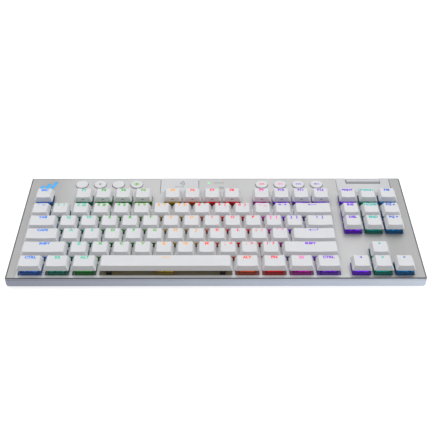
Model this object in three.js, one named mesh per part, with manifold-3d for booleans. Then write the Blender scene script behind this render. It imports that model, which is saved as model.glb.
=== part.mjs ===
// A low-profile tenkeyless wireless keyboard: an aluminium top plate over a
// moulded tray, 87 caps that float above it on low switches, eight round
// buttons, a volume roller and four folding feet.
// Units are millimetres. X runs along the keyboard, Y towards its back and Z up.
// The origin is under the middle of the keyboard, on the surface it stands on.

import * as THREE from 'three';
import { mergeVertices } from 'three/addons/utils/BufferGeometryUtils.js';
import Module from 'manifold-3d';

const wasm = await Module();
wasm.setup();

// Case
const LENGTH = 368;
const DEPTH = 150;
const HEIGHT = 22;
const CORNER = 1.5;
const GAP = 0.3;
const PLATE_TOP = 12;
const PLATE_THICK = 1.6;
const PLATE_UNDER = PLATE_TOP - PLATE_THICK;
const TRAY_TOP = PLATE_UNDER - GAP;
const BAND_LOW = 2.7;
const BELLY_LOW = 1;
const WALL = 2;
const FLOOR_TOP = 2.6;
const SIDE_ROUND = 4;

// Layers inside the tray
const STIFFENER_LOW = FLOOR_TOP + GAP;
const STIFFENER_THICK = 0.8;
const BOARD_LOW = 7.4;
const BOARD_THICK = 1.5;
const BOARD_TOP = BOARD_LOW + BOARD_THICK;
const SHEET_LOW = BOARD_TOP + GAP;
const BOSS_TOP = BOARD_LOW - GAP;
const BOSS_RADIUS = 2.5;
const BOSSES = [
  [-172, -56], [172, -56], [-172, 56], [172, 56],
  [-60, -64], [60, -64], [-80, 2], [80, 2],
];

// Keys
const PITCH = 19.05;
const KEY_GAP = 1.7;
const CAP_DEPTH = PITCH - KEY_GAP;
const CAP_LOW = PLATE_TOP + 5.5;
const CAP_WALL = 1.2;
const SIDE_TAPER = 2.3;
const FRONT_TAPER = 1.6;
const FIRST_ROW_FRONT = -71.8;
const FUNCTION_ROW_GAP = 4.34;
const MAIN_LEFT = -175;
const BLOCK_GAP = 7.1;
const MAIN_UNITS = 15;
const NAV_LEFT = MAIN_LEFT + MAIN_UNITS * PITCH + BLOCK_GAP;
const OPENING_GAP = 2.4;
const HOUSING = 15.6;
const HOUSING_TOP = 14.5;
const WELL = [5.4, 4.2, 10.4];
const STEM = [4.6, 3.4, 13.4];
const WEB = [2, 17.7, 18.5];

// Rear strip
const BUTTON_RADIUS = 5.9;
const BUTTON_HOLE = 6.3;
const BUTTON_ROW = 63.5;
const BUTTON_PITCH = 18.15;
const MODE_BUTTONS_LEFT = -133;
const MEDIA_BUTTONS_LEFT = 45.5;
const PANEL_FRONT = 50.5;
const ANTENNA = { left: -54.6, right: -17.1 };
const SURROUND = { left: 120.2, right: 173.1 };
const LIGHT_AT = [-7.2, 66.9];
const ROLLER_RADIUS = 4.5;
const ROLLER = { left: 130.2, right: 163.5, y: 70.45, z: 9.2 };

// Folding feet: [middle, width, length] to the right of the middle line
const FEET = { tall: [150, 26, 22], short: [118, 22, 14] };
const FOOT_HINGE = { y: 62, z: 3.1 };
const FOOT_THICK = 3;
const FOOT_PIN = 0.9;

// Finishes
const finish = (color, roughness, metalness = 0) =>
  new THREE.MeshStandardMaterial({ color, roughness, metalness });
const capPlastic = finish(0xe6e8ee, 0.45);
const plateMetal = finish(0xc2c3c6, 0.38, 0.9);
const trayPlastic = finish(0x9fa3b2, 0.5);
const windowPlastic = finish(0xd7d8de, 0.25);
const clearPlastic = finish(0xcdd6dc, 0.3);
const steel = finish(0x8d9196, 0.45, 1);
const rubber = finish(0x2b2c2e, 0.9);
const boardGreen = finish(0x1f3a33, 0.6);
const batteryWrap = finish(0x3b3f47, 0.55);
const blackPlastic = finish(0x202124, 0.5);
const litBlue = finish(0x2fa8e6, 0.3);
const litGreen = finish(0x3fd25a, 0.3);

// Turns a closed three.js geometry into a solid that can be joined and cut
function solid(geometry) {
  const bare = geometry.clone();
  bare.deleteAttribute('normal');
  bare.deleteAttribute('uv');
  const merged = mergeVertices(bare, 1e-4);
  return new wasm.Manifold(new wasm.Mesh({
    numProp: 3,
    vertProperties: new Float32Array(merged.attributes.position.array),
    triVerts: new Uint32Array(merged.index.array),
  }));
}

const joined = (solids) => solids.reduce((whole, next) => whole.add(next));
const cut = (body, cutters) => body.subtract(joined(cutters));

// A box between two corners
function box([x0, y0, z0], [x1, y1, z1]) {
  const shape = new THREE.BoxGeometry(x1 - x0, y1 - y0, z1 - z0);
  return solid(shape.translate((x0 + x1) / 2, (y0 + y1) / 2, (z0 + z1) / 2));
}

// A box about (x, y) whose top is smaller than its base
function taperedBox(x, y, [baseWidth, baseDepth], [topWidth, topDepth], low, high) {
  const shape = new THREE.BoxGeometry(baseWidth, baseDepth, high - low);
  const points = shape.attributes.position;
  for (let i = 0; i < points.count; i += 1) {
    if (points.getZ(i) > 0) {
      points.setX(i, points.getX(i) * topWidth / baseWidth);
      points.setY(i, points.getY(i) * topDepth / baseDepth);
    }
  }
  return solid(shape.translate(x, y, (low + high) / 2));
}

function roundedOutline(x0, y0, x1, y1, radius, steps = 4) {
  const corners = [
    [x1 - radius, y0 + radius, -90], [x1 - radius, y1 - radius, 0],
    [x0 + radius, y1 - radius, 90], [x0 + radius, y0 + radius, 180],
  ];
  const points = [];
  for (const [x, y, start] of corners) {
    for (let i = 0; i <= steps; i += 1) {
      const angle = THREE.MathUtils.degToRad(start + 90 * i / steps);
      points.push(new THREE.Vector2(x + radius * Math.cos(angle), y + radius * Math.sin(angle)));
    }
  }
  return points;
}

const toPoints = (pairs) => pairs.map(([x, y]) => new THREE.Vector2(x, y));

const extrude = (points, length) =>
  new THREE.ExtrudeGeometry(new THREE.Shape(points), { depth: length, bevelEnabled: false });

const slab = (points, low, high) => solid(extrude(points, high - low).translate(0, 0, low));

// An outline in X and Z, drawn out along Y from the front to the back
const alongY = (points, front, back) =>
  solid(extrude(points, back - front).rotateX(Math.PI / 2).translate(0, back, 0));

// An outline in Y and Z, drawn out along X from left to right
function alongX(points, left, right) {
  const turn = new THREE.Matrix4().makeBasis(
    new THREE.Vector3(0, 1, 0), new THREE.Vector3(0, 0, 1), new THREE.Vector3(1, 0, 0),
  );
  return solid(extrude(points, right - left).applyMatrix4(turn).translate(left, 0, 0));
}

const upright = (x, y, radius, low, high, sides = 12) =>
  solid(new THREE.CylinderGeometry(radius, radius, high - low, sides)
    .rotateX(Math.PI / 2).translate(x, y, (low + high) / 2));

const crosswise = (left, right, y, z, radius, sides = 12) =>
  solid(new THREE.CylinderGeometry(radius, radius, right - left, sides)
    .rotateZ(-Math.PI / 2).translate((left + right) / 2, y, z));

const keyboard = new THREE.Group();

function place(name, body, material) {
  const { vertProperties, triVerts } = body.getMesh();
  const geometry = new THREE.BufferGeometry();
  geometry.setAttribute('position', new THREE.BufferAttribute(vertProperties, 3));
  geometry.setIndex(new THREE.BufferAttribute(triVerts, 1));
  const mesh = new THREE.Mesh(geometry, material);
  mesh.name = name;
  keyboard.add(mesh);
}

// Key layout: rows from the front to the back, each a list of [key, width in
// units], where a number alone is an empty space of that many units.
const letters = (names) => [...names].map((name) => [name, 1]);
const MAIN_ROWS = [
  [['left_control_key', 1.25], ['left_system_key', 1.25], ['left_alt_key', 1.25],
    ['space_bar', 6.25], ['right_alt_key', 1.25], ['function_key', 1.25],
    ['menu_key', 1.25], ['right_control_key', 1.25]],
  [['left_shift_key', 2.25], ...letters('zxcvbnm,./'), ['right_shift_key', 2.75]],
  [['caps_lock_key', 1.75], ...letters('asdfghjkl;\''), ['enter_key', 2.25]],
  [['tab_key', 1.5], ...letters('qwertyuiop[]'), ['backslash_key', 1.5]],
  [...letters('`1234567890-='), ['backspace_key', 2]],
  [['escape_key', 1], 1, ['f1', 1], ['f2', 1], ['f3', 1], ['f4', 1], 0.5,
    ['f5', 1], ['f6', 1], ['f7', 1], ['f8', 1], 0.5,
    ['f9', 1], ['f10', 1], ['f11', 1], ['f12', 1]],
];
const NAV_ROWS = [
  [['left_arrow_key', 1], ['down_arrow_key', 1], ['right_arrow_key', 1]],
  [1, ['up_arrow_key', 1], 1],
  [],
  [['delete', 1], ['end', 1], ['page_down', 1]],
  [['insert', 1], ['home', 1], ['page_up', 1]],
  [['print', 1], ['scroll', 1], ['pause', 1]],
];
const FUNCTION_ROW = MAIN_ROWS.length - 1;

const rowMiddle = (row) =>
  FIRST_ROW_FRONT + (row + 0.5) * PITCH + (row === FUNCTION_ROW ? FUNCTION_ROW_GAP : 0);

function layOut(rows, left) {
  const keys = [];
  rows.forEach((row, number) => {
    let x = left;
    for (const entry of row) {
      const [name, units] = Array.isArray(entry) ? entry : [null, entry];
      if (name) {
        keys.push({ name, x: x + units * PITCH / 2, y: rowMiddle(number), units, row: number });
      }
      x += units * PITCH;
    }
  });
  return keys;
}

const mainKeys = layOut(MAIN_ROWS, MAIN_LEFT);
const navKeys = layOut(NAV_ROWS, NAV_LEFT);
const allKeys = [...mainKeys, ...navKeys];

// A hollow cap with the stem that slides in its switch
function keyCap({ x, y, units }) {
  const width = units * PITCH - KEY_GAP;
  const outer = taperedBox(x, y, [width, CAP_DEPTH],
    [width - 2 * SIDE_TAPER, CAP_DEPTH - 2 * FRONT_TAPER], CAP_LOW, HEIGHT);
  const room = [width - 2 * CAP_WALL, CAP_DEPTH - 2 * CAP_WALL];
  const roof = [room[0] - 2 * SIDE_TAPER, room[1] - 2 * FRONT_TAPER];
  const hollow = taperedBox(x, y, room, roof, CAP_LOW - 0.01, HEIGHT - CAP_WALL);
  const [stemWidth, stemDepth, stemLow] = STEM;
  const stem = box([x - stemWidth / 2, y - stemDepth / 2, stemLow],
    [x + stemWidth / 2, y + stemDepth / 2, HEIGHT - CAP_WALL + 0.2]);
  return outer.subtract(hollow).add(stem);
}

// A thin web under a row of caps, which makes them one piece
const rowWeb = (keys) => {
  const [width, low, high] = WEB;
  const first = keys[0];
  const last = keys[keys.length - 1];
  return box([first.x, first.y - width / 2, low], [last.x, first.y + width / 2, high]);
};

const capRow = (keys) => joined([...keys.map(keyCap), rowWeb(keys)]);

// A single key stands alone; the one-unit keys of a row share one piece
function buildKeys() {
  const single = (key) => key.name.endsWith('_key') || key.name.endsWith('_bar');
  for (const key of allKeys.filter(single)) {
    place(key.name, keyCap(key), capPlastic);
  }
  const rest = mainKeys.filter((key) => !single(key));
  ['z_row', 'a_row', 'q_row', 'number_row'].forEach((name, number) => {
    place(`keys_${name}`, capRow(rest.filter((key) => key.row === number + 1)), capPlastic);
  });
  const functions = rest.filter((key) => key.row === FUNCTION_ROW);
  for (let first = 0; first < functions.length; first += 4) {
    const four = functions.slice(first, first + 4);
    place(`keys_${four[0].name}_to_${four[3].name}`, capRow(four), capPlastic);
  }
  const cluster = navKeys.filter((key) => !single(key));
  const rows = [0, 3, 6].map((first) => cluster.slice(first, first + 3));
  const [width, low, high] = WEB;
  const spine = box([cluster[1].x - width / 2, cluster[1].y, low],
    [cluster[1].x + width / 2, cluster[7].y, high]);
  place('keys_navigation', joined([...rows.map(capRow), spine]), capPlastic);
}

const buttons = [0, 1, 2, 3].flatMap((i) => [
  { name: `mode_button_${i + 1}`, x: MODE_BUTTONS_LEFT + i * BUTTON_PITCH },
  { name: `media_button_${i + 1}`, x: MEDIA_BUTTONS_LEFT + i * BUTTON_PITCH },
]);

// Round button: a domed head above the plate and a foot that meets the board
function buildButtons() {
  const profile = toPoints([
    [0, BOARD_TOP + 1], [2, BOARD_TOP + 1], [2, PLATE_UNDER + 0.4],
    [BUTTON_RADIUS, PLATE_UNDER + 0.4], [BUTTON_RADIUS, PLATE_TOP + 0.6],
    [BUTTON_RADIUS - 0.8, PLATE_TOP + 1], [0, PLATE_TOP + 1.2],
  ]);
  for (const { name, x } of buttons) {
    const turned = new THREE.LatheGeometry(profile, 20).rotateX(Math.PI / 2);
    place(name, solid(turned.translate(x, BUTTON_ROW, 0)), capPlastic);
  }
}

// Three slanted bars of rising length behind the escape key
function emblemBars(grow, low, high) {
  return [0, 1, 2].map((i) => {
    const x = -174.4 + i * 5.2;
    const y = 57.4;
    const length = 5 + i * 3;
    const lean = length * 0.35;
    return slab(toPoints([
      [x - grow, y - grow], [x + 3.2 + grow, y - grow],
      [x + 3.2 + lean + grow, y + length + grow], [x + lean - grow, y + length + grow],
    ]), low, high);
  });
}

function buildPlate() {
  const low = PLATE_UNDER - 1;
  const high = PLATE_TOP + 1;
  const openings = allKeys.map(({ x, y, units }) => {
    const half = (units * PITCH - OPENING_GAP) / 2;
    return box([x - half, y - (PITCH - OPENING_GAP) / 2, low],
      [x + half, y + (PITCH - OPENING_GAP) / 2, high]);
  });
  const notch = ({ left, right }) =>
    box([left - GAP, PANEL_FRONT - GAP, low], [right + GAP, DEPTH, high]);
  const blank = slab(
    roundedOutline(-LENGTH / 2, -DEPTH / 2, LENGTH / 2, DEPTH / 2, CORNER, 6),
    PLATE_UNDER, PLATE_TOP,
  );
  place('top_plate', cut(blank, [
    ...openings,
    ...buttons.map(({ x }) => upright(x, BUTTON_ROW, BUTTON_HOLE, low, high, 20)),
    ...emblemBars(GAP, low, high),
    notch(ANTENNA),
    notch(SURROUND),
    upright(...LIGHT_AT, 1.3, low, high),
  ]), plateMetal);

  const foot = box([-176, 55.6, SHEET_LOW], [-157, 70.6, TRAY_TOP]);
  place('emblem_window', joined([foot, ...emblemBars(0, TRAY_TOP - 0.1, PLATE_TOP)]), litBlue);
  place('status_light', upright(...LIGHT_AT, 2, SHEET_LOW, TRAY_TOP)
    .add(upright(...LIGHT_AT, 0.9, SHEET_LOW, PLATE_TOP)), litGreen);
}

function buildPanels() {
  const panel = ({ left, right }) =>
    box([left, PANEL_FRONT, PLATE_UNDER], [right, DEPTH / 2, PLATE_TOP]);
  place('antenna_window', panel(ANTENNA), windowPlastic);
  const slot = box([ROLLER.left - 0.4, ROLLER.y - ROLLER_RADIUS - 0.4, 0],
    [ROLLER.right + 0.4, DEPTH, HEIGHT]);
  place('roller_surround', panel(SURROUND).subtract(slot), windowPlastic);
}

function buildRoller() {
  const { left, right, y, z } = ROLLER;
  const bore = crosswise(left - 1, right + 1, y, z, 1.3);
  const chamfer = 0.6;
  const outline = toPoints([
    [0, 0], [ROLLER_RADIUS - chamfer, 0], [ROLLER_RADIUS, chamfer],
    [ROLLER_RADIUS, right - left - chamfer],
    [ROLLER_RADIUS - chamfer, right - left], [0, right - left],
  ]);
  const drum = solid(new THREE.LatheGeometry(outline, 32)
    .rotateZ(-Math.PI / 2).translate(left, y, z));
  place('volume_roller', drum.subtract(bore), windowPlastic);
  place('roller_shaft', crosswise(125.6, 169.5, y, z, 1), steel);
  const bearing = box([126.4, y - 3, 6], [129.4, y + 2, 10]);
  place('roller_bearing', bearing.subtract(crosswise(120, 135, y, z, 1.3)), blackPlastic);
  const encoder = box([166, y - 3.4, 6], [171.4, y + 2, 10]);
  place('roller_encoder', encoder.subtract(crosswise(160, 169.9, y, z, 1.3)), blackPlastic);
}

// The switch housings stand on one sheet under the plate
function buildSwitches() {
  const [wellWidth, wellDepth, wellLow] = WELL;
  const sheets = [
    box([MAIN_LEFT, -71, SHEET_LOW], [NAV_LEFT - BLOCK_GAP, 47, TRAY_TOP]),
    box([NAV_LEFT - BLOCK_GAP - 1, -71, SHEET_LOW], [-MAIN_LEFT, 47, TRAY_TOP]),
  ];
  const housings = allKeys.map(({ x, y }) =>
    taperedBox(x, y, [HOUSING, HOUSING], [HOUSING - 1, HOUSING - 1], TRAY_TOP - 0.1, HOUSING_TOP));
  const wells = allKeys.map(({ x, y }) =>
    box([x - wellWidth / 2, y - wellDepth / 2, wellLow],
      [x + wellWidth / 2, y + wellDepth / 2, HOUSING_TOP + 1]));
  place('switch_bank', cut(joined([...sheets, ...housings]), wells), clearPlastic);
}

const FOOT_LIST = ['left', 'right'].flatMap((side) => Object.entries(FEET)
  .map(([kind, [middle, width, length]]) => ({
    name: `${side}_${kind}_foot`, x: side === 'left' ? -middle : middle, width, length,
  })));

function buildFeet() {
  const { y, z } = FOOT_HINGE;
  const half = FOOT_THICK / 2;
  for (const { name, x, width, length } of FOOT_LIST) {
    const outline = [];
    for (let i = 0; i <= 6; i += 1) {
      const angle = Math.PI * (i / 6 - 0.5);
      outline.push([y + half * Math.cos(angle), z + half * Math.sin(angle)]);
    }
    outline.push([y - length + 0.8, z + half], [y - length, z + half - 0.8], [y - length, z - half]);
    const pin = crosswise(x - width / 2 - 1.4, x + width / 2 + 1.4, y, z, FOOT_PIN);
    const flap = alongX(toPoints(outline), x - width / 2, x + width / 2);
    place(name, flap.add(pin), trayPlastic);
  }
}

const PADS = [
  ['front_left_pad', -140, -60, 46], ['front_right_pad', 140, -60, 46],
  ['rear_left_pad', -80, 62, 30], ['rear_right_pad', 80, 62, 30],
];
const PAD_DEPTH = 9;

const padOutline = (x, y, width, grow) =>
  roundedOutline(x - width / 2 - grow, y - PAD_DEPTH / 2 - grow,
    x + width / 2 + grow, y + PAD_DEPTH / 2 + grow, 3 + grow, 3);

function buildTray() {
  const side = LENGTH / 2;
  const end = DEPTH / 2;
  const lowerCorner = (reach, radius) => {
    const points = [];
    for (let i = 0; i <= 4; i += 1) {
      const angle = Math.PI / 2 * (i / 4);
      points.push([
        reach - SIDE_ROUND + radius * Math.cos(angle),
        BAND_LOW + SIDE_ROUND - radius * Math.sin(angle),
      ]);
    }
    return points;
  };
  const mirrored = (half) =>
    toPoints([...half, ...half.map(([x, z]) => [-x, z]).reverse()].reverse());
  const shell = slab(roundedOutline(-side, -end, side, end, CORNER, 6), BELLY_LOW, TRAY_TOP)
    .intersect(alongY(mirrored([
      [side, TRAY_TOP + 1], ...lowerCorner(side, SIDE_ROUND), [side - 6, BELLY_LOW],
    ]), -end - 1, end + 1))
    .intersect(alongX(mirrored([
      [end, TRAY_TOP + 1], [end, BAND_LOW + 0.5], [end - 0.5, BAND_LOW], [end - 4, BELLY_LOW],
    ]), -side - 1, side + 1));
  const inner = slab(
    roundedOutline(WALL - side, WALL - end, side - WALL, end - WALL, 2), FLOOR_TOP, TRAY_TOP + 1,
  ).intersect(alongY(mirrored([
    [side - WALL, TRAY_TOP + 2], ...lowerCorner(side, SIDE_ROUND - WALL), [side - 9, FLOOR_TOP],
  ]), -end, end));

  const pocket = ({ x, width, length }, grow, low, high) => {
    const half = width / 2 + 0.5 + grow;
    const { y } = FOOT_HINGE;
    return box([x - half, y - length - 4 - grow, low], [x + half, y + 2.6 + grow, high]);
  };
  const pocketTop = FOOT_HINGE.z + FOOT_THICK / 2 + 0.3;
  const bosses = BOSSES.map(([x, y]) => upright(x, y, BOSS_RADIUS, FLOOR_TOP - 0.1, BOSS_TOP));
  const added = [
    shell.subtract(inner),
    ...bosses,
    ...FOOT_LIST.map((foot) => pocket(foot, 2, BELLY_LOW, pocketTop + 1)),
  ];
  const { left, right, y } = ROLLER;
  place('base_tray', cut(joined(added), [
    ...FOOT_LIST.map((foot) => pocket(foot, 0, BELLY_LOW - 1, pocketTop)),
    ...FOOT_LIST.map(({ x, width }) =>
      crosswise(x - width / 2 - 1.8, x + width / 2 + 1.8, FOOT_HINGE.y, FOOT_HINGE.z, FOOT_PIN + 0.35)),
    ...BOSSES.flatMap(([x, by]) => [
      upright(x, by, 1.9, 0, FLOOR_TOP - 0.7), upright(x, by, 0.9, 0, BOSS_TOP - 1, 8),
    ]),
    ...PADS.map(([, x, py, width]) => slab(padOutline(x, py, width, 0.3), 0, BELLY_LOW + 0.8)),
    box([left - 1, y, ROLLER.z - ROLLER_RADIUS - 0.8], [right + 1, DEPTH, HEIGHT]),
    box([-5.1, DEPTH / 2 - 8, 3.4], [5.1, DEPTH, 7.5]),
    box([-46.2, DEPTH / 2 - 4, 4.7], [-38.8, DEPTH, 7.1]),
  ]), trayPlastic);
}

function buildInside() {
  const high = STIFFENER_LOW + STIFFENER_THICK;
  const clearOfFoot = ({ x, width, length }) => {
    const half = width / 2 + 3;
    return box([x - half, FOOT_HINGE.y - length - 7, 0], [x + half, DEPTH, HEIGHT]);
  };
  place('steel_stiffener', cut(slab(roundedOutline(-174, -66, 174, 66, 4), STIFFENER_LOW, high), [
    ...BOSSES.map(([x, y]) => upright(x, y, BOSS_RADIUS + 0.5, 0, HEIGHT, 10)),
    ...FOOT_LIST.map(clearOfFoot),
  ]), steel);
  const board = slab(roundedOutline(-178, -69, 178, 65.8, 3, 2), BOARD_LOW, BOARD_TOP);
  place('circuit_board', board, boardGreen);
  place('battery_pack', slab(roundedOutline(-60, 8, 60, 46, 2.5), high + GAP, BOSS_TOP - 0.2),
    batteryWrap);

  const back = DEPTH / 2 - 0.1;
  const socket = box([-4.7, back - 7.4, 3.8], [4.7, back, 7.1])
    .subtract(box([-4.2, back - 6.2, 4.3], [4.2, DEPTH, 6.6]))
    .add(box([-3.2, back - 6.4, 5.1], [3.2, back - 1, 5.8]));
  place('charging_socket', socket, steel);
  const slider = box([-48, 71.7, 3.9], [-40, 72.7, 7.9]).add(box([-45.6, 72.6, 5], [-42.6, 74.8, 6.8]));
  place('power_slider', slider, blackPlastic);
}

function buildPads() {
  for (const [name, x, y, width] of PADS) {
    place(name, slab(padOutline(x, y, width, 0), 0, BELLY_LOW + 0.5), rubber);
  }
}

buildTray();
buildInside();
buildSwitches();
buildPlate();
buildPanels();
buildButtons();
buildKeys();
buildRoller();
buildFeet();
buildPads();

export default keyboard;
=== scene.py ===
# %% [markdown]
# # A lit low-profile keyboard
# The keyboard has an aluminium plate over a moulded tray. Eighty-seven caps float above the plate on
# low switches, and each switch glows in the colour of its part of the board. The working model gives
# every place and size, so each cell asks it where a piece goes instead of typing numbers again.

# %% Load the frame
import math

import bmesh
import bpy
from mathutils import Matrix, Vector


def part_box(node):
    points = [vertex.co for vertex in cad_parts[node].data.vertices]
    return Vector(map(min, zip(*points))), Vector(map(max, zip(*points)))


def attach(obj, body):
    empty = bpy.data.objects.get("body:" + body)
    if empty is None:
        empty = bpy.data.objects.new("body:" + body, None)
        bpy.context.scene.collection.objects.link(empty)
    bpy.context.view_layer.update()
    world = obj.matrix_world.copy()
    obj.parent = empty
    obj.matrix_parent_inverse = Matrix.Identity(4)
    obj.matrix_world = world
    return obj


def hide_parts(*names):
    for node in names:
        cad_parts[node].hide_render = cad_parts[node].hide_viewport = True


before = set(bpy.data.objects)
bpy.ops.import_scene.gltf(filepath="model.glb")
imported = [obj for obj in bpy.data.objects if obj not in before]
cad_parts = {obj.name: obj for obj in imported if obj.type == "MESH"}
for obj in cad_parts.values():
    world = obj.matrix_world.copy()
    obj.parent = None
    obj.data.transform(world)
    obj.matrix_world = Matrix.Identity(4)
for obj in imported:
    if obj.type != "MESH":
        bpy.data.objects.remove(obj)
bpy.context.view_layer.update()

MM = 0.001

# %% [markdown]
# ## Camera
# A product shot from in front and above, about 38 degrees down, with a long lens so that the keys
# keep their proportions. The turn is built from three small rotations, in the order in which a
# tripod head makes them: pan, tilt, and a trace of roll.

# %% Set up the camera
CAMERA_PLACE = Vector((-0.0009, -0.6358, 0.5198))
PAN, TILT, ROLL = math.radians(-0.130), math.radians(51.933), math.radians(0.027)

lens = bpy.data.cameras.new("camera")
lens.lens = 72.16
lens.sensor_width = 36
camera = bpy.data.objects.new("camera", lens)
bpy.context.collection.objects.link(camera)
turn = Matrix.Rotation(PAN, 4, "Z") @ Matrix.Rotation(TILT, 4, "X") @ Matrix.Rotation(ROLL, 4, "Z")
camera.matrix_world = Matrix.Translation(CAMERA_PLACE) @ turn
bpy.context.scene.camera = camera
print("camera", round(CAMERA_PLACE.length, 3), "m from the keyboard")

# %% [markdown]
# ## Shader maths as plain expressions
# A material is a graph of nodes, and wiring sums by hand hides what they say. A small class wraps
# one output and overloads plus and times, so `0.4 + grain * 0.1` adds its own Math nodes. A second
# class holds one material and makes every other node through a single method.

# %% Wires and finishes
class Wire:
    """An output of a node that can be used in sums and products."""

    def __init__(self, finish, socket):
        self.finish = finish
        self.socket = socket

    def maths(self, operation, first, second):
        return self.finish.add("Math", {"operation": operation}, {0: first, 1: second})

    def __add__(self, other):
        return self.maths("ADD", self, other)

    def __radd__(self, other):
        return self.maths("ADD", other, self)

    def __mul__(self, other):
        return self.maths("MULTIPLY", self, other)

    def __rmul__(self, other):
        return self.maths("MULTIPLY", other, self)

class Finish:
    """One material: its nodes, and the shader that they feed."""

    def __init__(self, name, roughness=0.5, metallic=0.0, **uniform):
        self.material = bpy.data.materials.new(name)
        self.material.use_nodes = True
        self.tree = self.material.node_tree
        self.shader = self.tree.nodes["Principled BSDF"]
        self.feed(self.shader, {"Roughness": roughness, "Metallic": metallic})
        self.feed(self.shader, {key.replace("_", " "): value for key, value in uniform.items()})
        self.place = self.add("TexCoord", output="Object")

    def add(self, kind, settings=None, sockets=None, output=0):
        node = self.tree.nodes.new("ShaderNode" + kind)
        for key, value in (settings or {}).items():
            setattr(node, key, value)
        self.feed(node, sockets or {})
        return Wire(self, node.outputs[output])

    def feed(self, node, sockets):
        for key, value in sockets.items():
            if isinstance(value, Wire):
                self.tree.links.new(value.socket, node.inputs[key])
            else:
                node.inputs[key].default_value = value

    def set(self, **sockets):
        self.feed(self.shader, {key.replace("_", " "): value for key, value in sockets.items()})
        return self.material

    def stretched(self, x=1.0, y=1.0, z=1.0):
        return self.add("Mapping", None, {"Vector": self.place, "Scale": (x, y, z)})

    def noise(self, size, place=None, detail=2.0):
        """Soft mottling whose spots are about `size` metres across."""
        sockets = {"Vector": place or self.place, "Scale": 1 / size, "Detail": detail}
        return self.add("TexNoise", None, sockets)

    def mix(self, amount, first, second):
        colours = {0: amount, 6: first, 7: second}
        return self.add("Mix", {"data_type": "RGBA"}, colours, output=2)

    def axis(self, number):
        """How far along X, Y or Z (0, 1 or 2) a point of the piece is."""
        return self.add("SeparateXYZ", None, {0: self.place}, output=number)

    def ramp(self, value, start, end, first=0.0, last=1.0):
        return self.add("MapRange", None, {0: value, 1: start, 2: end, 3: first, 4: last})

    def bump(self, relief, depth, strength=1.0):
        sockets = {"Height": relief, "Distance": depth, "Strength": strength}
        return self.add("Bump", None, sockets)


def linear(code, dim=1.0):
    """A colour written as six hexadecimal digits, as a shader reads it."""
    parts = [int(code[i:i + 2], 16) / 255 for i in (0, 2, 4)]
    return (*[dim * (p / 12.92 if p <= 0.04045 else ((p + 0.055) / 1.055) ** 2.4) for p in parts], 1.0)


# %% [markdown]
# ## Finishes of the case
# The plate is bead-blasted aluminium with faint upright bands painted in as streaks of reflected
# light, and a painted sheen that makes its middle lighter than its ends; the tray is a blue-grey
# moulding with a painted sweep of light, darker at the left and lighter at the right; and the two
# panels at the back are a lighter gloss plastic, the roller panel painted darker as shade towards
# its right end. A flat colour would look like a drawing, so each finish gets a slow drift of tone,
# a fine grain in its roughness and a bump. The light under the keys spills on the plate between
# them, and that light is painted into its finish as a faint glow there.

# %% Plate, tray and panels
LIT_REAR, LIT_LEFT, LIT_RIGHT = 23.5 * MM, -174.5 * MM, 109.5 * MM


def make_plate_metal():
    """Brushed metal with painted reflection, upright light bands and a lighter middle, and painted light
    between the keys of the main block.
    """
    finish = Finish("plate_metal", metallic=0.55)
    # Painted reflection: wide upright bands of lighter and darker tone stand in for streaks of reflected
    # light.
    reflection_bands = finish.noise(0.030, finish.stretched(y=0.04), detail=3)
    brushing = finish.noise(0.0008, finish.stretched(y=0.03), detail=4)
    blasting = finish.noise(0.0003)
    tone = finish.mix(reflection_bands, linear("8f8f8f"), linear("a8a8a7"))
    tone = finish.mix(brushing * 0.25, tone, linear("868789"))
    # Painted light: inside the key field the plate glows faintly, standing in for the lamps' light that
    # spills between the keys.
    outside = (finish.ramp(finish.axis(1), LIT_REAR, LIT_REAR + MM)
               + finish.ramp(finish.axis(0), LIT_RIGHT, LIT_RIGHT + MM)
               + finish.ramp(finish.axis(0), LIT_LEFT, LIT_LEFT - MM))
    spill = finish.mix(outside, linear("c8ccd0"), linear("000000"))
    # Painted sheen: the middle of the plate is lighter and its two ends darker.
    painted_centre_sheen = finish.ramp(finish.axis(0) * finish.axis(0), 0.0260, 0.0170)
    tone = finish.mix(painted_centre_sheen * 0.24, tone, linear("e2e2e4"))
    return finish.set(Base_Color=tone, Roughness=0.34 + brushing * 0.16,
                      Emission_Color=spill, Emission_Strength=0.28,
                      Normal=finish.bump(brushing + blasting, 0.01 * MM, 0.5))


def make_tray_plastic():
    finish = Finish("tray_plastic")
    drift = finish.noise(0.040)
    grain = finish.noise(0.0005, detail=4)
    # Painted light: the tone sweeps from darker at the left end to lighter at the right, as a lamp from the
    # right would give it.
    painted_light_sweep = finish.ramp(finish.axis(0), -0.17, 0.19)
    tone = finish.mix(painted_light_sweep, linear("868998"), linear("c6cfdc"))
    tone = finish.mix(drift * 0.3, tone, linear("9ba0b0"))
    return finish.set(Base_Color=tone, Roughness=0.42 + grain * 0.18,
                      Normal=finish.bump(grain, 0.02 * MM, 0.6))


def make_window_plastic():
    finish = Finish("window_plastic", Coat_Weight=0.3, Coat_Roughness=0.1)
    drift = finish.noise(0.020, finish.stretched(y=0.15))
    specks = finish.noise(0.0004)
    tone = finish.mix(drift, linear("aeafb2"), linear("babbbd"))
    # Painted shade: the roller panel darkens towards its right end, from x 150 to 174 mm.
    tone = finish.mix(finish.ramp(finish.axis(0), 0.150, 0.174) * 0.4, tone, linear("9a9ca1"))
    return finish.set(Base_Color=tone, Roughness=0.26 + specks * 0.12,
                      Normal=finish.bump(specks, 0.004 * MM, 0.5))


def make_roller_metal():
    finish = Finish("roller_metal", metallic=0.5)
    rings = finish.noise(0.0006, finish.stretched(y=0.04, z=0.04), detail=3)
    tone = finish.mix(rings, linear("9a9b9f"), linear("aaabaf"))
    return finish.set(Base_Color=tone, Roughness=0.38 + rings * 0.14,
                      Normal=finish.bump(rings, 0.008 * MM, 0.6))


plate_metal = make_plate_metal()
tray_plastic = make_tray_plastic()
window_plastic = make_window_plastic()
roller_metal = make_roller_metal()
print("case finishes:", plate_metal.name, tray_plastic.name, window_plastic.name, roller_metal.name)
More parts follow.
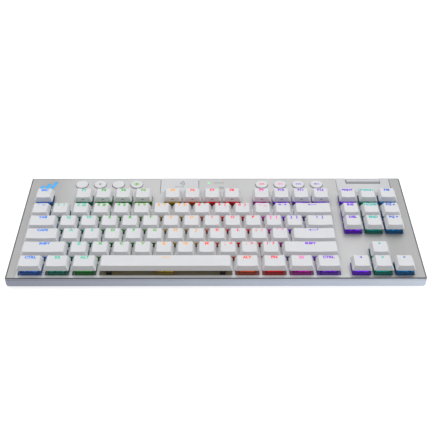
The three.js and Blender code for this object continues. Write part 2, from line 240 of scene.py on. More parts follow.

# %% [markdown]
# ## Finishes of the keys
# The caps are a cool white plastic with a satin grain. The marks on them are windows that let the
# light through, so a mark's finish has a colour of its own and gives off a little light too. The
# switch housings, the sheets under them and their walls have the lamp's light painted in as colour
# and glow, dark on the rim and brighter below it; the walls are also painted dark as shade, and the
# fronts of some caps get painted shade or a painted tint of that light.

# %% Cap plastic, lit marks and housings
# Each hue has one colour for marks and lamps and one for what lies deeper.
HUES = {
    "blue": ("2470d0", "1f57a8"), "mint": ("1cb08c", "0c6a5c"), "green": ("209c24", "136a20"),
    "lime": ("5a9c20", "3c6a14"), "amber": ("da901c", "7a6410"), "coral": ("e04428", "a23c14"),
    "red": ("d82840", "ae1014"), "magenta": ("e02a9c", "a0148c"), "violet": ("7430c4", "6420b8"),
    "indigo": ("6020bc", "6a20d8"), "teal": ("1ea09c", "0c7c74"), "azure": ("2050b8", "0c64a0"),
}


def make_cap_white():
    finish = Finish("cap_white")
    drift = finish.noise(0.012)
    grain = finish.noise(0.0004, detail=4)
    tone = finish.mix(drift, linear("bdbec1"), linear("c3c4c7"))
    return finish.set(Base_Color=tone, Roughness=0.44 + grain * 0.16,
                      Normal=finish.bump(grain, 0.012 * MM, 0.5))


def make_mark(name, code):
    finish = Finish("mark_" + name, roughness=0.4)
    spill = finish.noise(0.0016)
    tone = finish.mix(spill * 0.5, linear(code), linear(code, 1.5))
    return finish.set(Base_Color=tone, Emission_Color=tone, Emission_Strength=0.03)


def make_housing(name, code):
    """Milky plastic with its lamp's light painted in as a glow: dark on its rim, brightest in spots inside
    the sunken top.
    """
    finish = Finish("housing_" + name, roughness=0.3)
    depth = finish.ramp(finish.axis(2), 14.4 * MM, 14.05 * MM)
    spots = finish.ramp(finish.noise(0.0030), 0.35, 0.65, 0.3, 1.3)
    painted_glow = finish.mix(depth * spots, linear(code, 0.06), linear(code, 1.6))
    return finish.set(Base_Color=linear(code, 0.25), Emission_Color=painted_glow, Emission_Strength=0.7,
                      Roughness=0.22 + spots * 0.1)


def make_painted_floor(name, code):
    """The dark sheet under a switch, with its lamp's light painted in as a coloured wash and a faint glow.
    """
    finish = Finish("floor_" + name, roughness=0.5)
    painted_lamp_wash = finish.ramp(finish.noise(0.0040), 0.3, 0.7, 0.35, 0.65)
    tone = finish.mix(painted_lamp_wash, linear("747a7f"), linear(code, 1.2))
    return finish.set(Base_Color=tone, Emission_Color=tone, Emission_Strength=0.10)


def make_wall(name, code):
    """The sides of a housing, seen between the plate and the cap: painted dark and saturated as shade under
    the cap, with the lamp's light painted in as a faint glow.
    """
    finish = Finish("wall_" + name)
    streaks = finish.noise(0.0020, finish.stretched(z=0.3))
    tone = finish.mix(streaks, linear(code, 0.12), linear(code, 0.40))
    return finish.set(Base_Color=tone, Roughness=0.25 + streaks * 0.1,
                      Emission_Color=linear(code), Emission_Strength=0.14)


def make_painted_front(name, code, painted_tint, shade):
    """Cap plastic on a front face with painted light: its base can be painted darker as shade, and the
    coloured light of the gap before it is painted in as a tint.
    """
    finish = Finish(f"front_{shade}_{name}")
    grain = finish.noise(0.0006)
    tone = finish.mix(painted_tint * (0.7 + grain * 0.6), linear(shade), linear(code))
    return finish.set(Base_Color=tone, Roughness=0.44 + grain * 0.16)


def make_lamp(name, code):
    finish = Finish("lamp_" + name, roughness=0.3)
    core = finish.noise(0.0025)
    return finish.set(Base_Color=linear(code), Emission_Strength=5.0,
                      Emission_Color=finish.mix(core * 0.4, linear(code), linear("ffffff")))


def in_each_hue(make, code_number, *rest):
    return {name: make(name, codes[code_number], *rest) for name, codes in HUES.items()}


cap_white = make_cap_white()
marks = in_each_hue(make_mark, 0)
housings = in_each_hue(make_housing, 1)
floors_in_painted_light = in_each_hue(make_painted_floor, 1)
shade_and_glow_walls = in_each_hue(make_wall, 1)
# Function-row fronts get a painted tint of lamp light; first-row fronts are painted darker as shade.
fronts_with_painted_tint = in_each_hue(make_painted_front, 0, 0.12, "bfc0c3")
fronts_with_painted_shade = in_each_hue(make_painted_front, 0, 0.03, "a4a5a7")
lamps = in_each_hue(make_lamp, 0)
print(len(HUES), "hues, each with finishes for marks, housings, walls, floors, fronts and lamps")

# %% [markdown]
# ## Finishes that mostly stay hidden
# Rubber, steel, laminate and wrap are seen from below or through an opening. They share one recipe:
# a colour that drifts between two tones, a grain in the roughness, and a bump at its own scale.

# %% Small parts and inside
def make_plain(name, low, high, roughness, grain_size, depth, metallic=0.0, **uniform):
    finish = Finish(name, metallic=metallic, **uniform)
    drift = finish.noise(grain_size * 12)
    grain = finish.noise(grain_size, detail=3)
    return finish.set(Base_Color=finish.mix(drift, linear(low), linear(high)),
                      Roughness=roughness + grain * 0.18,
                      Normal=finish.bump(grain, depth, 0.7))


steel = make_plain("steel", "8b8e93", "a2a5aa", 0.28, 0.0006, 0.01 * MM, metallic=1.0)
rubber = make_plain("rubber", "222326", "303135", 0.72, 0.0005, 0.03 * MM)
black_plastic = make_plain("black_plastic", "17181a", "232427", 0.42, 0.0005, 0.02 * MM)
circuit_laminate = make_plain("circuit_laminate", "15382c", "1f4a3a", 0.38, 0.0012, 0.01 * MM)
battery_wrap = make_plain("battery_wrap", "363a42", "464b55", 0.36, 0.0030, 0.04 * MM)
print_grey = make_plain("print_grey", "6a6b70", "7c7d83", 0.45, 0.0004, 0.005 * MM)
# The plate's sloped rim is the same metal, painted dark as shade.
rim_painted_shade = make_plain("rim_painted_shade", "3a3b3f", "4c4d52", 0.45, 0.0005, 0.006 * MM)


def make_glowing(name, low, high, strength):
    finish = Finish(name, roughness=0.25)
    spill = finish.noise(0.004)
    tone = finish.mix(spill, linear(low), linear(high))
    return finish.set(Base_Color=tone, Emission_Color=tone, Emission_Strength=strength)


lit_blue = make_glowing("lit_blue", "108ace", "289cdc", 0.30)
lit_green = make_glowing("lit_green", "28c84a", "7df08c", 1.2)
print("hidden and small finishes are ready")

# %% [markdown]
# ## Tools of the bench
# Every new piece is modelled as by hand: a primitive at its size and place, then edit-mode steps.
# An operator works on whatever is selected, so each helper first clears the selection and then
# picks faces or edges by where they are and which way they point.

# %% Helpers for modelling
def lone(piece):
    """Selects one object and nothing else."""
    bpy.ops.object.select_all(action="DESELECT")
    piece.select_set(True)
    bpy.context.view_layer.objects.active = piece
    return piece


def coat(piece, material):
    """Gives a whole piece one finish."""
    piece.data.materials.clear()
    piece.data.materials.append(material)
    return piece


def settle(name, material=None):
    """Names the new object, puts its place in its mesh and gives it a finish."""
    piece = lone(bpy.context.object)
    piece.name = name
    bpy.ops.object.transform_apply(location=True, rotation=True, scale=True)
    return coat(piece, material) if material else piece


def block(name, low, high, material=None):
    bpy.ops.object.select_all(action="DESELECT")
    middle = (Vector(low) + Vector(high)) / 2
    bpy.ops.mesh.primitive_cube_add(size=1, location=middle, scale=Vector(high) - Vector(low))
    return settle(name, material)


def drum(name, middle, radius, depth, sides, material=None, turned=(0, 0, 0)):
    bpy.ops.object.select_all(action="DESELECT")
    bpy.ops.mesh.primitive_cylinder_add(vertices=sides, radius=radius, depth=depth,
                                        location=middle, rotation=turned)
    return settle(name, material)


def pick(piece, kind, test):
    """Enters edit mode and selects the faces or edges that pass the test.

    A face is tested by its middle and normal, an edge by its middle and direction."""
    if piece.mode != "EDIT":
        lone(piece)
        bpy.ops.object.mode_set(mode="EDIT")
    bpy.ops.mesh.select_mode(type=kind)
    bpy.ops.mesh.select_all(action="DESELECT")
    shape = bmesh.from_edit_mesh(piece.data)
    for item in shape.faces if kind == "FACE" else shape.edges:
        if kind == "FACE":
            passed = test(item.calc_center_median(), item.normal)
        else:
            start, end = (corner.co for corner in item.verts)
            passed = test((start + end) / 2, (end - start).normalized())
        item.select_set(passed)
    bmesh.update_edit_mesh(piece.data)


def leave(piece):
    bpy.ops.object.mode_set(mode="OBJECT")
    return piece


def paint(piece, material, test):
    """Gives the faces that pass the test a finish of their own."""
    piece.data.materials.append(material)
    pick(piece, "FACE", test)
    piece.active_material_index = len(piece.data.materials) - 1
    bpy.ops.object.material_slot_assign()
    return leave(piece)


def upright(middle, direction):
    return abs(direction.z) > 0.9


def facing_up(middle, normal):
    return normal.z > 0.9


def facing_down(middle, normal):
    return normal.z < -0.9


def facing_ends(middle, normal):
    return abs(normal.x) > 0.9


def terrace(piece, test, *steps):
    """Insets the faces that pass the test, once for each (thickness, depth) in millimetres."""
    pick(piece, "FACE", test)
    for thickness, depth in steps:
        bpy.ops.mesh.inset(thickness=thickness * MM, depth=depth * MM)
    return leave(piece)


def round_uprights(piece, radius, segments=4):
    """Rounds the four corners that a block shows from above."""
    pick(piece, "EDGE", upright)
    bpy.ops.mesh.bevel(offset=radius, segments=segments, affect="EDGES")
    return leave(piece)


def apply(piece, kind, **settings):
    lone(piece)
    modifier = piece.modifiers.new("step", kind)
    for key, value in settings.items():
        setattr(modifier, key, value)
    bpy.ops.object.modifier_apply(modifier=modifier.name)
    return piece


def cut_out(piece, cutter):
    """Takes the cutter's shape out of a piece, and the cutter out of the scene."""
    apply(piece, "BOOLEAN", operation="DIFFERENCE", solver="EXACT", object=cutter)
    discard(cutter)


def soften(piece, width, segments=2, sharper_than=40, smooth_below=40):
    """Breaks every sharp edge, then shades the gentle bends smooth."""
    apply(piece, "BEVEL", width=width, segments=segments, limit_method="ANGLE",
          angle_limit=math.radians(sharper_than))
    lone(piece)
    bpy.ops.object.shade_smooth_by_angle(angle=math.radians(smooth_below))
    return apply(piece, "WEIGHTED_NORMAL", keep_sharp=True)


def join(name, pieces):
    lone(pieces[0])
    for piece in pieces:
        piece.select_set(True)
    if len(pieces) > 1:
        bpy.ops.object.join()
    pieces[0].name = name
    return pieces[0]


def copy_to(piece, name, offset):
    """A copy with its own mesh, moved inside that mesh."""
    twin = piece.copy()
    twin.data = piece.data.copy()
    twin.name = name
    twin.data.transform(Matrix.Translation(offset))
    bpy.context.collection.objects.link(twin)
    return twin


def discard(piece):
    bpy.data.objects.remove(piece, do_unlink=True)


def hand_in(piece, body, slot, *nodes):
    """Hangs a finished piece on its body and hides the working parts that it stands for."""
    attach(piece, body)
    if nodes:
        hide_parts(*nodes)
    return piece


# %% [markdown]
# ## Where the keys are
# The caps stand on a square grid. The working model's own boxes give the pitch, the gap between
# caps, the left edges of the two blocks and the middle line of each row, so a changed model moves
# every cap, switch and opening with it.

# %% Measure the grid
def size_of(node):
    low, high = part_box(node)
    return Vector(high) - Vector(low)


def middle_of(node):
    low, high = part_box(node)
    return (Vector(low) + Vector(high)) / 2


cap_depth = size_of("space_bar").y
pitch = (size_of("keys_q_row").x - cap_depth) / 11
key_gap = pitch - cap_depth
ROW_NODES = ["space_bar", "keys_z_row", "keys_a_row", "keys_q_row", "keys_number_row", "escape_key"]
row_y = [middle_of(node).y for node in ROW_NODES]
main_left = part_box("left_control_key")[0][0] - key_gap / 2
navigation_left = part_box("left_arrow_key")[0][0] - key_gap / 2
cap_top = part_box("space_bar")[1][2]
plate_low, plate_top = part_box("top_plate")[0][2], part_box("top_plate")[1][2]
print("pitch %.2f mm, gap %.2f mm" % (pitch / MM, key_gap / MM), "rows at",
      [round(y / MM, 2) for y in row_y])

# %% List the keys
PLAIN_NAMES = dict(zip("`-=[];',./", [
    "backquote", "minus", "equals", "left_bracket", "right_bracket", "semicolon", "quote",
    "comma", "period", "slash"])) | {"P/B": "pause"}
SECOND_MARKS = dict(zip("`1234567890-=[];',./\\", "~!@#$%^&*()_+{}:\"<>?|"))


def run(node, marks_text, hues_text):
    """One-unit keys that share a node, as (mark, units, hue, node)."""
    return [(mark, 1, hue, node) for mark, hue in zip(marks_text.split(), hues_text.split())]


MAIN_ROWS = [
    [("CTRL", 1.25, "blue", "left_control_key"), ("*window", 1.25, "mint", "left_system_key"),
     ("ALT", 1.25, "mint", "left_alt_key"), ("*bar", 6.25, "amber", "space_bar"),
     ("ALT", 1.25, "coral", "right_alt_key"), ("FN", 1.25, "red", "function_key"),
     ("*menu", 1.25, "magenta", "menu_key"), ("CTRL", 1.25, "violet", "right_control_key")],
    [("SHIFT", 2.25, "blue", "left_shift_key"),
     *run("keys_z_row", "Z X C V B N M , . /",
          "mint green green lime amber amber coral coral red red"),
     ("SHIFT", 2.75, "violet", "right_shift_key")],
    [("CAPS", 1.75, "blue", "caps_lock_key"),
     *run("keys_a_row", "A S D F G H J K L ; '",
          "mint mint green green lime amber amber coral red red magenta"),
     ("*enter", 2.25, "violet", "enter_key")],
    [("TAB", 1.5, "blue", "tab_key"),
     *run("keys_q_row", "Q W E R T Y U I O P [ ]",
          "mint mint green green lime amber amber coral red red magenta violet"),
     ("\\", 1.5, "violet", "backslash_key")],
    [*run("keys_number_row", "` 1 2 3 4 5 6 7 8 9 0 - =",
          "blue mint mint green green lime amber amber coral red red magenta violet"),
     ("*back", 2, "violet", "backspace_key")],
    [("ESC", 1, "blue", "escape_key"), 1,
     *run("keys_f1_to_f4", "F1 F2 F3 F4", "mint green green lime"), 0.5,
     *run("keys_f5_to_f8", "F5 F6 F7 F8", "amber coral red red"), 0.5,
     *run("keys_f9_to_f12", "F9 F10 F11 F12", "magenta violet violet violet")],
]
THREE_HUES = "indigo teal azure"
NAVIGATION_ROWS = [
    [("*left", 1, "indigo", "left_arrow_key"), ("*down", 1, "teal", "down_arrow_key"),
     ("*right", 1, "azure", "right_arrow_key")],
    [1, ("*up", 1, "teal", "up_arrow_key")],
    [],
    run("keys_navigation", "DEL END *page_down", THREE_HUES),
    run("keys_navigation", "INS HOME *page_up", THREE_HUES),
    run("keys_navigation", "PRINT SCROLL P/B", THREE_HUES),
]


def key_name(mark, node):
    if node.endswith("_key") or node == "space_bar":
        return node.removesuffix("_key")
    return PLAIN_NAMES.get(mark, mark.lower().strip("*"))


def list_keys():
    keys = []
    for rows, left in ((MAIN_ROWS, main_left), (NAVIGATION_ROWS, navigation_left)):
        for row, entries in enumerate(rows):
            x = left
            for entry in entries:
                if isinstance(entry, tuple):
                    mark, units, hue, node = entry
                    keys.append({"name": key_name(mark, node), "mark": mark, "units": units,
                                 "hue": hue, "node": node, "row": row,
                                 "x": x + units * pitch / 2, "y": row_y[row]})
                else:
                    units = entry
                x += units * pitch
    return keys


keys = list_keys()
# The lamp of this switch has another hue than the mark above it.
GLOWS = {"left_alt": "green"}
WIDTHS = sorted({key["units"] for key in keys})
print(len(keys), "keys in widths of", WIDTHS, "units")

# %% [markdown]
# ## The caps
# A cap is a thin shell, narrower at the top, with a shallow trough that a fingertip finds. It could
# be sculpted from a subdivided sheet, but the real one is a moulding with flat sloping walls, so a
# block that is tapered, rounded at its corners, hollowed from below and cut into strips for the
# trough keeps those walls true. One cap per width is modelled at the middle of the board.

# %% Model one cap of each width
SIDE_SLOPE = 2.3 * MM
FRONT_SLOPE = 1.6 * MM
CAP_WALL = 1.2 * MM
CAP_HEIGHT = 4.5 * MM
TROUGH, BAR_TROUGH = 0.45 * MM, 0.12 * MM
STRIPS = 8
CAP_CORNER = 1.0 * MM
cap_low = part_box("escape_key")[1][2] - CAP_HEIGHT


def half_top_of(units):
    return (units * pitch - key_gap) / 2 - SIDE_SLOPE


def trough_drop(across, units):
    """How far the top lies below its side edges, `across` from the middle line."""
    depth = BAR_TROUGH if units > 6 else TROUGH
    return depth * (1 - min(abs(across) / half_top_of(units), 1) ** 2)


def model_cap(units):
    half_top = half_top_of(units)
    half = half_top + SIDE_SLOPE
    cap = block("cap", (-half, -cap_depth / 2, cap_low), (half, cap_depth / 2, cap_top), cap_white)
    pick(cap, "FACE", facing_up)
    bpy.ops.transform.resize(value=(half_top / half, 1 - 2 * FRONT_SLOPE / cap_depth, 1))
    pick(cap, "EDGE", lambda middle, direction: abs(direction.z) > 0.5)
    bpy.ops.mesh.bevel(offset=CAP_CORNER, segments=4, affect="EDGES")
    pick(cap, "FACE", facing_down)
    bpy.ops.mesh.inset(thickness=CAP_WALL)
    bpy.ops.mesh.extrude_region_move(
        TRANSFORM_OT_translate={"value": (0, 0, cap_top - cap_low - CAP_WALL - TROUGH)})
    bpy.ops.transform.resize(value=(1 - SIDE_SLOPE / half * 0.8, 1 - FRONT_SLOPE / cap_depth * 1.6, 1))
    for strip in range(1, STRIPS):
        x = half_top * (2 * strip / STRIPS - 1)
        pick(cap, "FACE", lambda middle, normal: normal.z > 0.9 and middle.z > cap_top - MM / 10)
        bpy.ops.mesh.bisect(plane_co=(x, 0, 0), plane_no=(1, 0, 0), threshold=1e-7)
    leave(cap)
    for corner in cap.data.vertices:
        if corner.co.z > cap_top - MM / 10:
            corner.co.z -= trough_drop(corner.co.x, units)
    return soften(cap, 0.55 * MM, segments=3, sharper_than=30, smooth_below=50)


caps = {units: model_cap(units) for units in WIDTHS}
print("caps have", [len(cap.data.polygons) for cap in caps.values()], "faces")

# %% [markdown]
# ## The marks on the caps
# A mark is a thin window in the cap's skin. A picture could be projected on the top, but that needs
# an image, so letters are set with the built-in typeface, made a mesh and laid into the trough,
# and the signs for space, enter and the arrows are put together from flat bars and triangles.

# %% Letters and signs
MARK_PROUD = 0.03 * MM
MARK_DEEP = 0.12 * MM
MARK_BACK = 4.6 * MM
BOLDER = 0.26 * MM
# These have strokes so close that they would run into each other at the full weight.
CROWDED = "@%&*"


def text_mark(text, x, size):
    """Letters as a solid; this and the next two take their places and sizes in millimetres."""
    bpy.ops.object.select_all(action="DESELECT")
    bpy.ops.object.text_add(location=(0, 0, 0))
    words = bpy.context.object
    words.data.body = text
    words.data.size = size * MM
    words.data.align_x = "CENTER"
    words.data.align_y = "CENTER"
    words.data.resolution_u = 2
    words.data.offset = BOLDER / 2 if text in CROWDED else BOLDER
    words.data.extrude = (MARK_PROUD + MARK_DEEP) / 2
    bpy.ops.object.convert(target="MESH")
    words.location = (x * MM, 0, (MARK_PROUD - MARK_DEEP) / 2)
    mark = settle("mark")
    pick(mark, "FACE", lambda middle, normal: True)
    bpy.ops.mesh.remove_doubles(threshold=1e-6)
    return leave(mark)


def bar_mark(x, y, width, depth):
    return block("mark", ((x - width / 2) * MM, (y - depth / 2) * MM, -MARK_DEEP),
                 ((x + width / 2) * MM, (y + depth / 2) * MM, MARK_PROUD))


def arrow_mark(x, y, size, degrees):
    """A solid triangle that points up at 0 degrees and turns to the left from there."""
    return drum("mark", (x * MM, y * MM, (MARK_PROUD - MARK_DEEP) / 2), size * MM,
                MARK_PROUD + MARK_DEEP, 3, turned=(0, 0, math.radians(degrees)))


SIGNS = {
    "*window": lambda: [bar_mark(sx * 1.25, sy * 0.95, 2.1, 1.6) for sx in (-1, 1) for sy in (-1, 1)],
    "*menu": lambda: [bar_mark(0, y, 4.6, 0.7) for y in (-1.3, 0, 1.3)],
    "*bar": lambda: [bar_mark(0, 0, 6.6, 0.8)],
    "*back": lambda: [arrow_mark(-3.2, 0, 1.7, 90), bar_mark(1.0, 0, 6, 0.7)],
    "*enter": lambda: [arrow_mark(-3.2, 0, 1.7, 90), bar_mark(1.0, 0, 6, 0.7),
                       bar_mark(3.7, 1.2, 0.7, 2.4)],
    "*left": lambda: [arrow_mark(0, 0, 1.6, 90)],
    "*right": lambda: [arrow_mark(0, 0, 1.6, -90)],
    "*up": lambda: [arrow_mark(0, 0, 1.7, 0)],
    "*down": lambda: [arrow_mark(0, 0, 1.7, 180)],
    "*page_up": lambda: [text_mark("PG", -1.8, WORD), arrow_mark(3.0, -0.2, 1.7, 0)],
    "*page_down": lambda: [text_mark("PG", -1.8, WORD), arrow_mark(3.0, 0.2, 1.7, 180)],
}
LETTER, WORD, LONG_WORD = 4.6, 4.2, 3.8
PAIR_APART = 2.6


def model_marks(mark):
    """The separate windows of one key, lying flat around the origin."""
    if mark in SIGNS:
        return SIGNS[mark]()
    if mark in SECOND_MARKS:
        return [text_mark(mark, -PAIR_APART, LETTER), text_mark(SECOND_MARKS[mark], PAIR_APART, LETTER)]
    size = LETTER if len(mark) < 3 else WORD if len(mark) < 5 else LONG_WORD
    return [text_mark(mark, 0, size)]


def lay_marks(key):
    """Joins the windows of a key and lays them into the trough of its cap."""
    sheet = join("mark", model_marks(key["mark"]))
    for corner in sheet.data.vertices:
        drop = max(trough_drop(corner.co.x, key["units"]), MARK_PROUD)
        corner.co += Vector((0, MARK_BACK, cap_top - drop))
    return coat(sheet, marks[key["hue"]])


# %% [markdown]
# ## One key, ready to press
# Under each cap a slider reaches down into the switch. Cap, slider and marks are joined, because
# they move as one, and the key rides on the body of its own working part. The front faces of the
# first and last rows carry painted light: the first row's are painted darker as shade, and the
# function row's get a painted tint of the coloured light of the gap before them.

# %% Build the keys
slider_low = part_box("escape_key")[0][2]
SLIDER_WIDTH, SLIDER_DEPTH = 4.6 * MM, 3.4 * MM
FUNCTION_ROW = 5


def model_slider():
    slider = block("slider", (-SLIDER_WIDTH / 2, -SLIDER_DEPTH / 2, slider_low),
                   (SLIDER_WIDTH / 2, SLIDER_DEPTH / 2, cap_top - CAP_WALL), black_plastic)
    terrace(slider, lambda middle, normal: abs(normal.y) > 0.9, (0.8, -0.5))
    return soften(slider, 0.25 * MM)


slider = model_slider()


def front_mark():
    """A small dash printed on the sloping front face of a function key."""
    height = cap_top - cap_low
    mark = block("mark", (-1.1 * MM, -MARK_PROUD, -0.45 * MM), (1.1 * MM, MARK_DEEP, 0.45 * MM), print_grey)
    mark.data.transform(Matrix.Rotation(-math.atan(FRONT_SLOPE / height), 4, "X"))
    mark.data.transform(Matrix.Translation((0, (FRONT_SLOPE - cap_depth) / 2, cap_low + height / 2)))
    return mark


def build_key(key):
    parts = [copy_to(caps[key["units"]], "cap", Vector()), lay_marks(key),
             copy_to(slider, "slider", Vector())]
    # Front faces: painted shade on the first row, a painted tint of lamp light on the function row.
    fronts = {0: fronts_with_painted_shade, FUNCTION_ROW: fronts_with_painted_tint}.get(key["row"])
    if fronts:
        paint(parts[0], fronts[key["hue"]], lambda middle, normal: normal.y < -0.6 and middle.y < 0)
    if key["node"].startswith("keys_f"):
        parts.append(front_mark())
    piece = join("key_" + key["name"], parts)
    piece.data.transform(Matrix.Translation((key["x"], key["y"], 0)))
    return hand_in(piece, key["node"], "cap_plastic", key["node"])


key_pieces = [build_key(key) for key in keys]
for pattern in [*caps.values(), slider]:
    discard(pattern)
print(len(key_pieces), "keys,", sum(len(piece.data.polygons) for piece in key_pieces), "faces")

# %% [markdown]
# ## The switches
# Each switch is a square milky housing on a floor, both with the lamp's light painted in as colour
# and glow, with a well for the slider and a small lamp at its back edge, which is why the marks glow
# at the back of each cap. Long keys also have two stabiliser blocks joined by a wire. A boolean could
# cut the wells, but an inset followed by an extrusion, three times over, makes the rim, the step and
# the well from one face.

# %% Model a switch
HOUSING, HOUSING_HEIGHT, WELL_DEPTH = 15.6 * MM, 4.4 * MM, 4.1 * MM
floor_low, housing_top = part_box("switch_bank")[0][2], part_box("switch_bank")[1][2]
housing_low = housing_top - HOUSING_HEIGHT
RIB = 0.4 * MM
STABILISER_AT = {2: 11.9 * MM, 2.25: 11.9 * MM, 2.75: 11.9 * MM, 6.25: 50 * MM}


def model_housing(hue):
    half = HOUSING / 2
    body = block("housing", (-half, -half, housing_low - 0.1 * MM), (half, half, housing_top),
                 housings[hue])
    pick(body, "FACE", facing_up)
    for margin, rise in ((0.9 * MM, -0.5 * MM), (2.2 * MM, 0.4 * MM), (1.8 * MM, -WELL_DEPTH)):
        bpy.ops.mesh.inset(thickness=margin)
        bpy.ops.mesh.extrude_region_move(TRANSFORM_OT_translate={"value": (0, 0, rise)})
    pick(body, "EDGE", lambda middle, direction: upright(middle, direction) and abs(middle.x) > half * 0.95)
    bpy.ops.mesh.bevel(offset=0.8 * MM, segments=3, affect="EDGES")
    leave(body)
    # The sides get painted shade and a painted glow of lamp light.
    paint(body, shade_and_glow_walls[hue], lambda middle, normal: abs(normal.z) < 0.3
          and max(abs(middle.x), abs(middle.y)) > half * 0.9)
    return soften(body, 0.2 * MM)


def model_lamp(hue):
    lamp = block("lamp", (-2.6 * MM, 5.1 * MM, housing_top - 1.6 * MM),
                 (2.6 * MM, 7.0 * MM, housing_top - 0.1 * MM), lamps[hue])
    terrace(lamp, facing_up, (0.4, 0.2))
    return soften(lamp, 0.15 * MM)


def model_floor(units, hue):
    half = (units * pitch - RIB) / 2
    # The slab carries the lamp's light painted into its colour and glow.
    slab = block("floor", (-half, -pitch / 2 + RIB / 2, floor_low),
                 (half, pitch / 2 - RIB / 2, housing_low - 0.3 * MM), floors_in_painted_light[hue])
    return terrace(slab, facing_up, (0.8, -0.1))


def model_stabiliser(reach):
    """Two blocks with slots, and the wire that keeps a long key level."""
    pieces = []
    for side in (-1, 1):
        x = side * reach
        post = block("post", (x - 2.4 * MM, -5.2 * MM, housing_low - 0.4 * MM),
                     (x + 2.4 * MM, 4.4 * MM, housing_top - 0.5 * MM), black_plastic)
        pick(post, "FACE", facing_up)
        bpy.ops.mesh.inset(thickness=0.8 * MM)
        bpy.ops.mesh.extrude_region_move(TRANSFORM_OT_translate={"value": (0, 0, -1.5 * MM)})
        leave(post)
        pieces.append(soften(post, 0.3 * MM))
    wire = drum("wire", (0, -7.9 * MM, housing_low + 0.5 * MM), 0.5 * MM, 2 * reach, 12,
                steel, turned=(0, math.pi / 2, 0))
    terrace(wire, facing_ends, (0.15, 0.1))
    pieces.append(soften(wire, 0.05 * MM, smooth_below=50))
    return pieces


# %% Build the switches
switch_patterns = {}


def switch_pattern(units, hue):
    """Switches of one width and hue are alike, so each kind is modelled once."""
    if (units, hue) not in switch_patterns:
        parts = [model_housing(hue), model_lamp(hue), model_floor(units, hue)]
        if units in STABILISER_AT:
            parts += model_stabiliser(STABILISER_AT[units])
        switch_patterns[units, hue] = join("switch", parts)
    return switch_patterns[units, hue]


for key in keys:
    pattern = switch_pattern(key["units"], GLOWS.get(key["name"], key["hue"]))
    switch = copy_to(pattern, "switch_" + key["name"], (key["x"], key["y"], 0))
    hand_in(switch, "case", "clear_plastic", "switch_bank")
for pattern in switch_patterns.values():
    discard(pattern)
print(len(keys), "switches of", len(switch_patterns), "kinds")

# %% [markdown]
# ## The top plate
# The plate is a sheet with one opening under each key, round holes for the buttons and two notches
# at the back. The openings could be drawn as one outline, but cutting them with a boolean keeps
# the grid in one loop. An inset top lets the outer edge slope down as a narrow rim, painted darker
# as shade, and the bevel after the cut breaks the edges of the openings.

# %% Cut the plate
OPENING_GAP = 2.4 * MM
OPENING_CORNER = 0.7 * MM
PLATE_CORNER = 1.5 * MM
RIM_WIDTH, RIM_DROP = 1.3, 0.45
BUTTON_NODES = [f"{kind}_button_{i}" for kind in ("mode", "media") for i in (1, 2, 3, 4)]
PANEL_NODES = ["antenna_window", "roller_surround"]
HOLE_ROOM, PANEL_ROOM = 0.4 * MM, 0.3 * MM
LIGHT_HOLE, PAST_EDGE, EDGE_ZONE = 1.1 * MM, 4 * MM, 3 * MM


def opening_cutters():
    pieces = []
    for key in keys:
        half_x = (key["units"] * pitch - OPENING_GAP) / 2
        half_y = (pitch - OPENING_GAP) / 2
        pieces.append(block("cutter", (key["x"] - half_x, key["y"] - half_y, plate_low - MM),
                            (key["x"] + half_x, key["y"] + half_y, plate_top + MM)))
    return round_uprights(join("cutter", pieces), OPENING_CORNER, 3)


def other_cutters():
    pieces = []
    for node in BUTTON_NODES:
        middle = middle_of(node)
        radius = size_of(node).x / 2 + HOLE_ROOM
        pieces.append(drum("cutter", (middle.x, middle.y, plate_top), radius, 6 * MM, 48))
    for node in PANEL_NODES:
        low, high = (Vector(corner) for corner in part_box(node))
        pieces.append(block("cutter", (low.x - PANEL_ROOM, low.y - PANEL_ROOM, plate_low - MM),
                            (high.x + PANEL_ROOM, high.y + PAST_EDGE, plate_top + MM)))
    light = middle_of("status_light")
    pieces.append(drum("cutter", (light.x, light.y, plate_top), LIGHT_HOLE, 6 * MM, 24))
    return join("cutter", pieces)


low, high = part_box("top_plate")
plate = block("plate", low, (high[0], high[1], plate_top - RIM_DROP * MM), plate_metal)
round_uprights(plate, PLATE_CORNER, 8)
terrace(plate, facing_up, (RIM_WIDTH, RIM_DROP))
cut_out(plate, opening_cutters())
cut_out(plate, other_cutters())


def on_the_rim(middle, normal):
    """Is this face outside the openings, on the outer edge of the plate?"""
    return abs(middle.x) > high[0] - EDGE_ZONE or abs(middle.y) > high[1] - EDGE_ZONE


# Painted shade: the sloped rim faces take a darker finish.
paint(plate, rim_painted_shade, lambda middle, normal: 0.2 < normal.z < 0.97 and on_the_rim(middle, normal))
paint(plate, tray_plastic, lambda middle, normal: abs(normal.z) < 0.2 and on_the_rim(middle, normal))
print("plate before softening:", len(plate.data.polygons), "faces")

# %% [markdown]
# ## The lit emblem
# Behind the escape key three slanted bars of rising length glow through the plate. Each bar starts
# as a block whose far end is slid sideways, and the same shapes, a little larger, cut their windows.

# %% Emblem bars
BAR_STEP, BAR_WIDTH, BAR_LEAN = 5.2 * MM, 3.2 * MM, 0.35
BAR_LEFT, BAR_FRONT = -174.4 * MM, 57.4 * MM
WINDOW_ROOM = 0.12 * MM


def emblem_bars(grow, low, high):
    bars = []
    for i in range(3):
        length = (5 + 3 * i) * MM
        x = BAR_LEFT + i * BAR_STEP
        bar = block("bar", (x - grow, BAR_FRONT - grow, low),
                    (x + BAR_WIDTH + grow, BAR_FRONT + length + grow, high), lit_blue)
        pick(bar, "FACE", lambda middle, normal: normal.y > 0.9)
        bpy.ops.transform.translate(value=(length * BAR_LEAN, 0, 0))
        bars.append(leave(bar))
    return bars


cut_out(plate, join("cutter", emblem_bars(WINDOW_ROOM, plate_low - MM, plate_top + MM)))
soften(plate, 0.16 * MM, sharper_than=55, smooth_below=24)
hand_in(plate, "case", "plate_metal", "top_plate")

